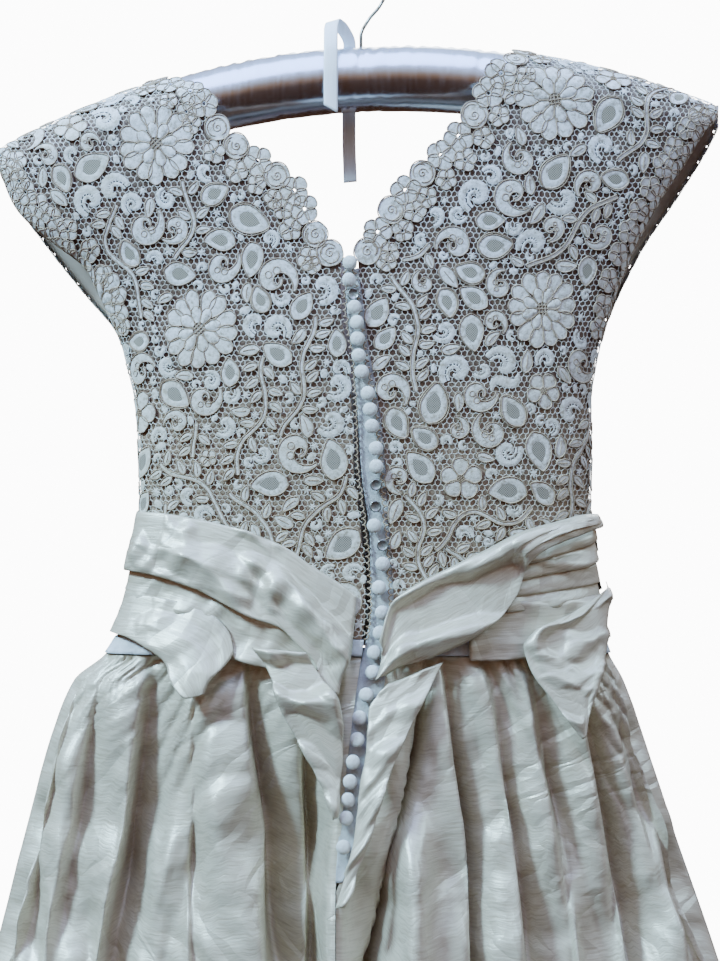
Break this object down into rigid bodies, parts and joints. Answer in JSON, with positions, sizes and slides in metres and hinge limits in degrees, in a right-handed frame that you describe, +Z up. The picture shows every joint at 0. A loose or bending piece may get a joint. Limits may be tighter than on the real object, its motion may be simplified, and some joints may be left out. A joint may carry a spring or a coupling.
{
  "type": "wedding dress on padded hanger",
  "caption": "Full-length wedding dress in corded lace and silk with cap sleeves, a buttoned back, a draped sash and a gathered skirt, hung on a padded satin hanger.",
  "frame": {"origin": "the inside top of the hanger's hook, where a rail carries it", "axes": "+Z up, -Y out of the buttoned back, +X to the right of someone who looks at that back"},
  "size_m": [0.932, 0.444, 1.5627],
  "materials": {
    "lace": "corded lace on a fine net",
    "silk": "crisp slubbed silk, soft sheen",
    "lining": "plain silk lining",
    "cotton": "matt woven cloth",
    "tape": "ribbed tape",
    "satin": "ruched satin, high sheen",
    "ribbon": "satin ribbon",
    "wire": "plain wire",
    "shell": "dull pressed metal"
  },
  "bodies": {
    "root": {"hanger_padding": "satin", "hanger_hook": "wire", "hanger_ribbon": "ribbon", "lace_back_left": "lace", "lace_back_right": "lace", "lace_front": "lace", "underbodice_back_left": "lining", "underbodice_back_right": "lining", "underbodice_front": "lining", "button_placket": "cotton", "waist_tape": "tape", "sash_left_upper": "silk", "sash_left_middle": "silk", "sash_left_lower": "silk", "sash_left_tail": "silk", "sash_right_upper": "silk", "sash_right_pleats": "silk", "sash_right_lower": "silk", "sash_right_flap": "silk", "sash_front": "silk", "skirt_back_left": "silk", "skirt_back_right": "silk", "placket_facing": "silk", "skirt_front": "silk", "button_01": "cotton", "button_02": "cotton", "button_03": "shell", "button_04": "cotton", "button_05": "cotton", "button_06": "cotton", "button_07": "cotton", "button_08": "cotton", "button_09": "cotton", "button_10": "cotton", "button_11": "cotton", "button_12": "cotton", "button_13": "cotton", "button_14": "shell", "button_15": "shell", "button_16": "cotton", "button_17": "shell", "button_18": "cotton", "button_19": "cotton", "button_20": "cotton", "button_21": "cotton", "button_22": "cotton", "button_23": "cotton", "button_24": "cotton", "button_25": "cotton", "button_26": "cotton", "button_27": "cotton", "button_28": "cotton", "button_29": "cotton", "button_30": "cotton", "button_31": "cotton"}
  },
  "joints": []
}
